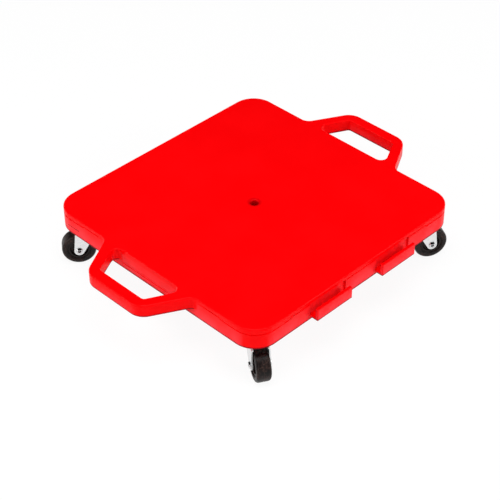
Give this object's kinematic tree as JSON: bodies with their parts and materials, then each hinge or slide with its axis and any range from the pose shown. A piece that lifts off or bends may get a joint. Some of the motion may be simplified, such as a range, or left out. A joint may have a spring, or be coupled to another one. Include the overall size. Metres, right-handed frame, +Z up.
{
  "type": "scooter board",
  "caption": "Low square plastic scooter board with a hand loop on each side, linking hooks along the front, a rope hole in the middle and swivel casters at the corners.",
  "frame": {"origin": "on the floor, under the middle of the whole outline", "axes": "+X towards the right hand loop, +Y away from the side with the linking hooks, +Z up"},
  "size_m": [0.539, 0.4193, 0.0996],
  "materials": {
    "red_plastic": "moulded red plastic, soft gloss",
    "black_rubber": "smooth black rubber",
    "black_plastic": "moulded black plastic",
    "zinc_plate": "bright zinc-plated pressed steel",
    "bright_steel": "bright steel",
    "ball_steel": "polished steel"
  },
  "bodies": {
    "deck": {"deck": "red_plastic", "caster_plate_front_left": "zinc_plate", "kingpin_front_left": "bright_steel", "thrust_washer_front_left": "bright_steel", "ball_ring_front_left": "ball_steel", "plate_screw_1_front_left": "bright_steel", "plate_screw_2_front_left": "bright_steel", "plate_screw_3_front_left": "bright_steel", "plate_screw_4_front_left": "bright_steel", "caster_plate_front_right": "zinc_plate", "kingpin_front_right": "bright_steel", "thrust_washer_front_right": "bright_steel", "ball_ring_front_right": "ball_steel", "plate_screw_1_front_right": "bright_steel", "plate_screw_2_front_right": "bright_steel", "plate_screw_3_front_right": "bright_steel", "plate_screw_4_front_right": "bright_steel", "caster_plate_rear_left": "zinc_plate", "kingpin_rear_left": "bright_steel", "thrust_washer_rear_left": "bright_steel", "ball_ring_rear_left": "ball_steel", "plate_screw_1_rear_left": "bright_steel", "plate_screw_2_rear_left": "bright_steel", "plate_screw_3_rear_left": "bright_steel", "plate_screw_4_rear_left": "bright_steel", "caster_plate_rear_right": "zinc_plate", "kingpin_rear_right": "bright_steel", "thrust_washer_rear_right": "bright_steel", "ball_ring_rear_right": "ball_steel", "plate_screw_1_rear_right": "bright_steel", "plate_screw_2_rear_right": "bright_steel", "plate_screw_3_rear_right": "bright_steel", "plate_screw_4_rear_right": "bright_steel"},
    "fork_front_left": {"fork_front_left": "zinc_plate", "axle_rivet_front_left": "bright_steel", "axle_bush_front_left": "bright_steel"},
    "wheel_front_left": {"wheel_core_front_left": "black_plastic", "tyre_front_left": "black_rubber"},
    "fork_front_right": {"fork_front_right": "zinc_plate", "axle_rivet_front_right": "bright_steel", "axle_bush_front_right": "bright_steel"},
    "wheel_front_right": {"wheel_core_front_right": "black_plastic", "tyre_front_right": "black_rubber"},
    "fork_rear_left": {"fork_rear_left": "zinc_plate", "axle_rivet_rear_left": "bright_steel", "axle_bush_rear_left": "bright_steel"},
    "wheel_rear_left": {"wheel_core_rear_left": "black_plastic", "tyre_rear_left": "black_rubber"},
    "fork_rear_right": {"fork_rear_right": "zinc_plate", "axle_rivet_rear_right": "bright_steel", "axle_bush_rear_right": "bright_steel"},
    "wheel_rear_right": {"wheel_core_rear_right": "black_plastic", "tyre_rear_right": "black_rubber"}
  },
  "joints": [
    {"name": "swivel_front_left", "type": "hinge", "parent": "deck", "child": "fork_front_left", "pos_m": [-0.1642, -0.15775, 0.0544], "axis": [0, 0, 1], "continuous": true},
    {"name": "spin_front_left", "type": "hinge", "parent": "fork_front_left", "child": "wheel_front_left", "pos_m": [-0.1759, -0.17802, 0.025], "axis": [0.866, -0.5, 0], "continuous": true},
    {"name": "swivel_front_right", "type": "hinge", "parent": "deck", "child": "fork_front_right", "pos_m": [0.1642, -0.15775, 0.0544], "axis": [0, 0, 1], "continuous": true},
    {"name": "spin_front_right", "type": "hinge", "parent": "fork_front_right", "child": "wheel_front_right", "pos_m": [0.18467, -0.16909, 0.025], "axis": [0.4848, 0.8746, 0], "continuous": true},
    {"name": "swivel_rear_left", "type": "hinge", "parent": "deck", "child": "fork_rear_left", "pos_m": [-0.1642, 0.17065, 0.0544], "axis": [0, 0, 1], "continuous": true},
    {"name": "spin_rear_left", "type": "hinge", "parent": "fork_rear_left", "child": "wheel_rear_left", "pos_m": [-0.18289, 0.18473, 0.025], "axis": [-0.6018, -0.7986, 0], "continuous": true},
    {"name": "swivel_rear_right", "type": "hinge", "parent": "deck", "child": "fork_rear_right", "pos_m": [0.1642, 0.17065, 0.0544], "axis": [0, 0, 1], "continuous": true},
    {"name": "spin_rear_right", "type": "hinge", "parent": "fork_rear_right", "child": "wheel_rear_right", "pos_m": [0.18337, 0.18407, 0.025], "axis": [-0.5736, 0.8192, 0], "continuous": true}
  ]
}
